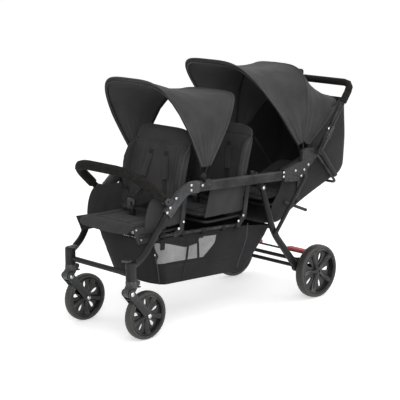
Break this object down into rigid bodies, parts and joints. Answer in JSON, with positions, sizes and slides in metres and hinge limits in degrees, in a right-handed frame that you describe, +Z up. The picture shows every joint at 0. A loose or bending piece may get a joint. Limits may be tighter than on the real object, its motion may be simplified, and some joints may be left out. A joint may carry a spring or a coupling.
{
  "type": "triple stroller",
  "caption": "Tandem stroller with padded seats in a row, folding canopies, swivel front wheels, foam bumper bar, storage basket, foot brake and push handle.",
  "frame": {"origin": "on the floor, below the middle of the whole length and width", "axes": "+X toward the front wheels, +Y to the stroller's left side, +Z up"},
  "size_m": [1.3433, 0.56, 1.0777],
  "materials": {
    "satin_black_tube": "satin black powder coat",
    "grey_moulding": "satin dark grey plastic",
    "tyre_rubber": "matt rubber",
    "wheel_moulding": "satin black plastic",
    "black_foam": "fine closed-cell foam",
    "charcoal_cloth": "woven cloth",
    "dark_cloth": "woven lining cloth",
    "red_moulding": "satin red plastic"
  },
  "bodies": {
    "frame": {"side_rail_left": "satin_black_tube", "side_rail_right": "satin_black_tube", "front_elbow_left": "grey_moulding", "front_elbow_right": "grey_moulding", "front_leg_left": "satin_black_tube", "front_leg_right": "satin_black_tube", "front_steering_frame": "satin_black_tube", "rear_knuckle_left": "grey_moulding", "rear_knuckle_right": "grey_moulding", "lower_rail_left": "satin_black_tube", "lower_rail_right": "satin_black_tube", "front_seat": "charcoal_cloth", "middle_seat": "charcoal_cloth", "rear_seat": "charcoal_cloth", "front_seat_frame": "satin_black_tube", "middle_seat_frame": "satin_black_tube", "rear_seat_frame": "satin_black_tube", "front_buckle": "dark_cloth", "middle_buckle": "dark_cloth", "rear_buckle": "dark_cloth", "rear_shell": "charcoal_cloth", "back_support_bar": "satin_black_tube", "storage_basket": "dark_cloth", "front_canopy_rear_bow": "satin_black_tube", "front_canopy_cover": "charcoal_cloth", "rear_canopy_rear_bow": "satin_black_tube", "rear_canopy_cover": "charcoal_cloth"},
    "rear_legs": {"rear_leg_left": "satin_black_tube", "rear_leg_right": "satin_black_tube", "rear_axle": "satin_black_tube"},
    "stay_left": {"frame_stay_left": "satin_black_tube"},
    "stay_right": {"frame_stay_right": "satin_black_tube"},
    "rear_wheel_left": {"rear_wheel_left_hub": "wheel_moulding", "rear_wheel_left_tyre": "tyre_rubber"},
    "rear_wheel_right": {"rear_wheel_right_hub": "wheel_moulding", "rear_wheel_right_tyre": "tyre_rubber"},
    "brake": {"brake_bar": "red_moulding"},
    "handle": {"push_handle": "satin_black_tube", "handle_grip": "black_foam"},
    "latch_left": {"fold_latch_left": "grey_moulding"},
    "latch_right": {"fold_latch_right": "grey_moulding"},
    "caster_left": {"caster_body_left": "grey_moulding"},
    "caster_right": {"caster_body_right": "grey_moulding"},
    "fork_left": {"caster_fork_left": "grey_moulding"},
    "fork_right": {"caster_fork_right": "grey_moulding"},
    "lock_left": {"swivel_lock_left": "grey_moulding"},
    "lock_right": {"swivel_lock_right": "grey_moulding"},
    "front_wheel_left": {"front_wheel_left_hub": "wheel_moulding", "front_wheel_left_tyre": "tyre_rubber"},
    "front_wheel_right": {"front_wheel_right_hub": "wheel_moulding", "front_wheel_right_tyre": "tyre_rubber"},
    "bumper": {"bumper_bar": "black_foam"},
    "canopy_front": {"front_canopy_front_bow": "satin_black_tube"},
    "canopy_rear": {"rear_canopy_front_bow": "satin_black_tube"},
    "back_front": {"front_backrest": "charcoal_cloth"},
    "back_middle": {"middle_backrest": "charcoal_cloth"},
    "back_rear": {"rear_backrest": "charcoal_cloth"},
    "button_front": {"front_buckle_button": "grey_moulding"},
    "button_middle": {"middle_buckle_button": "grey_moulding"},
    "button_rear": {"rear_buckle_button": "grey_moulding"}
  },
  "joints": [
    {"name": "frame_fold", "type": "hinge", "parent": "frame", "child": "rear_legs", "pos_m": [-0.09, 0, 0.541], "axis": [0, -1, 0], "range_deg": [0, 60]},
    {"name": "handle_fold", "type": "hinge", "parent": "frame", "child": "handle", "pos_m": [-0.44, 0, 0.662], "axis": [0, -1, 0], "range_deg": [0, 128.1]},
    {"name": "stay_fold_left", "type": "hinge", "parent": "rear_legs", "child": "stay_left", "pos_m": [-0.163, 0.2382, 0.332], "axis": [0, -1, 0], "range_deg": [-49, 0]},
    {"name": "stay_fold_right", "type": "hinge", "parent": "rear_legs", "child": "stay_right", "pos_m": [-0.163, -0.2382, 0.332], "axis": [0, -1, 0], "range_deg": [-49, 0]},
    {"name": "rear_wheel_spin_left", "type": "hinge", "parent": "rear_legs", "child": "rear_wheel_left", "pos_m": [-0.412, 0.2585, 0.12], "axis": [0, 1, 0], "continuous": true},
    {"name": "rear_wheel_spin_right", "type": "hinge", "parent": "rear_legs", "child": "rear_wheel_right", "pos_m": [-0.412, -0.2585, 0.12], "axis": [0, 1, 0], "continuous": true},
    {"name": "brake_press", "type": "hinge", "parent": "rear_legs", "child": "brake", "pos_m": [-0.4, 0, 0.192], "axis": [0, -1, 0], "range_deg": [0, 12]},
    {"name": "latch_lift_left", "type": "hinge", "parent": "handle", "child": "latch_left", "pos_m": [-0.4836, 0.241, 0.7193], "axis": [0, -1, 0], "range_deg": [0, 20]},
    {"name": "latch_lift_right", "type": "hinge", "parent": "handle", "child": "latch_right", "pos_m": [-0.4836, -0.241, 0.7193], "axis": [0, -1, 0], "range_deg": [0, 20]},
    {"name": "caster_swivel_left", "type": "hinge", "parent": "frame", "child": "caster_left", "pos_m": [0.638, 0.192, 0.2275], "axis": [0, 0, 1], "continuous": true},
    {"name": "caster_swivel_right", "type": "hinge", "parent": "frame", "child": "caster_right", "pos_m": [0.638, -0.192, 0.2275], "axis": [0, 0, 1], "continuous": true},
    {"name": "caster_suspension_left", "type": "hinge", "parent": "caster_left", "child": "fork_left", "pos_m": [0.654, 0.192, 0.209], "axis": [0, 1, 0], "range_deg": [0, 5], "stiffness_Nm_per_rad": 90, "springref_deg": -2.86},
    {"name": "caster_suspension_right", "type": "hinge", "parent": "caster_right", "child": "fork_right", "pos_m": [0.654, -0.192, 0.209], "axis": [0, 1, 0], "range_deg": [0, 5], "stiffness_Nm_per_rad": 90, "springref_deg": -2.86},
    {"name": "swivel_lock_left", "type": "hinge", "parent": "caster_left", "child": "lock_left", "pos_m": [0.609, 0.192, 0.2465], "axis": [0, 1, 0], "range_deg": [0, 20]},
    {"name": "swivel_lock_right", "type": "hinge", "parent": "caster_right", "child": "lock_right", "pos_m": [0.609, -0.192, 0.2465], "axis": [0, 1, 0], "range_deg": [0, 20]},
    {"name": "front_wheel_spin_left", "type": "hinge", "parent": "fork_left", "child": "front_wheel_left", "pos_m": [0.563, 0.192, 0.101], "axis": [0, 1, 0], "continuous": true},
    {"name": "front_wheel_spin_right", "type": "hinge", "parent": "fork_right", "child": "front_wheel_right", "pos_m": [0.563, -0.192, 0.101], "axis": [0, 1, 0], "continuous": true},
    {"name": "bumper_swing", "type": "hinge", "parent": "frame", "child": "bumper", "pos_m": [0.465, 0, 0.56], "axis": [0, 1, 0], "range_deg": [0, 45]},
    {"name": "canopy_front_fold", "type": "hinge", "parent": "frame", "child": "canopy_front", "pos_m": [0.241, 0, 0.634], "axis": [0, -1, 0], "range_deg": [0, 44], "deforming": ["front_canopy_cover"]},
    {"name": "canopy_rear_fold", "type": "hinge", "parent": "frame", "child": "canopy_rear", "pos_m": [-0.363, 0, 0.663], "axis": [0, -1, 0], "range_deg": [0, 35], "deforming": ["rear_canopy_cover"]},
    {"name": "recline_front", "type": "hinge", "parent": "frame", "child": "back_front", "pos_m": [0.353, 0, 0.444], "axis": [0, -1, 0], "range_deg": [0, 20]},
    {"name": "recline_middle", "type": "hinge", "parent": "frame", "child": "back_middle", "pos_m": [-0.017, 0, 0.444], "axis": [0, -1, 0], "range_deg": [0, 20]},
    {"name": "recline_rear", "type": "hinge", "parent": "frame", "child": "back_rear", "pos_m": [-0.387, 0, 0.462], "axis": [0, 1, 0], "range_deg": [0, 55]},
    {"name": "button_press_front", "type": "slide", "parent": "frame", "child": "button_front", "axis": [-1, 0, 0], "range_m": [0, 0.003], "stiffness_N_per_m": 300, "springref_m": -0.002},
    {"name": "button_press_middle", "type": "slide", "parent": "frame", "child": "button_middle", "axis": [-1, 0, 0], "range_m": [0, 0.003], "stiffness_N_per_m": 300, "springref_m": -0.002},
    {"name": "button_press_rear", "type": "slide", "parent": "frame", "child": "button_rear", "axis": [-1, 0, 0], "range_m": [0, 0.003], "stiffness_N_per_m": 300, "springref_m": -0.002}
  ],
  "couplings": [
    {"joint": "handle_fold", "follows": "frame_fold", "ratio": 2.1333},
    {"joint": "stay_fold_left", "follows": "frame_fold", "ratio": -0.812},
    {"joint": "stay_fold_right", "follows": "frame_fold", "ratio": -0.812}
  ]
}
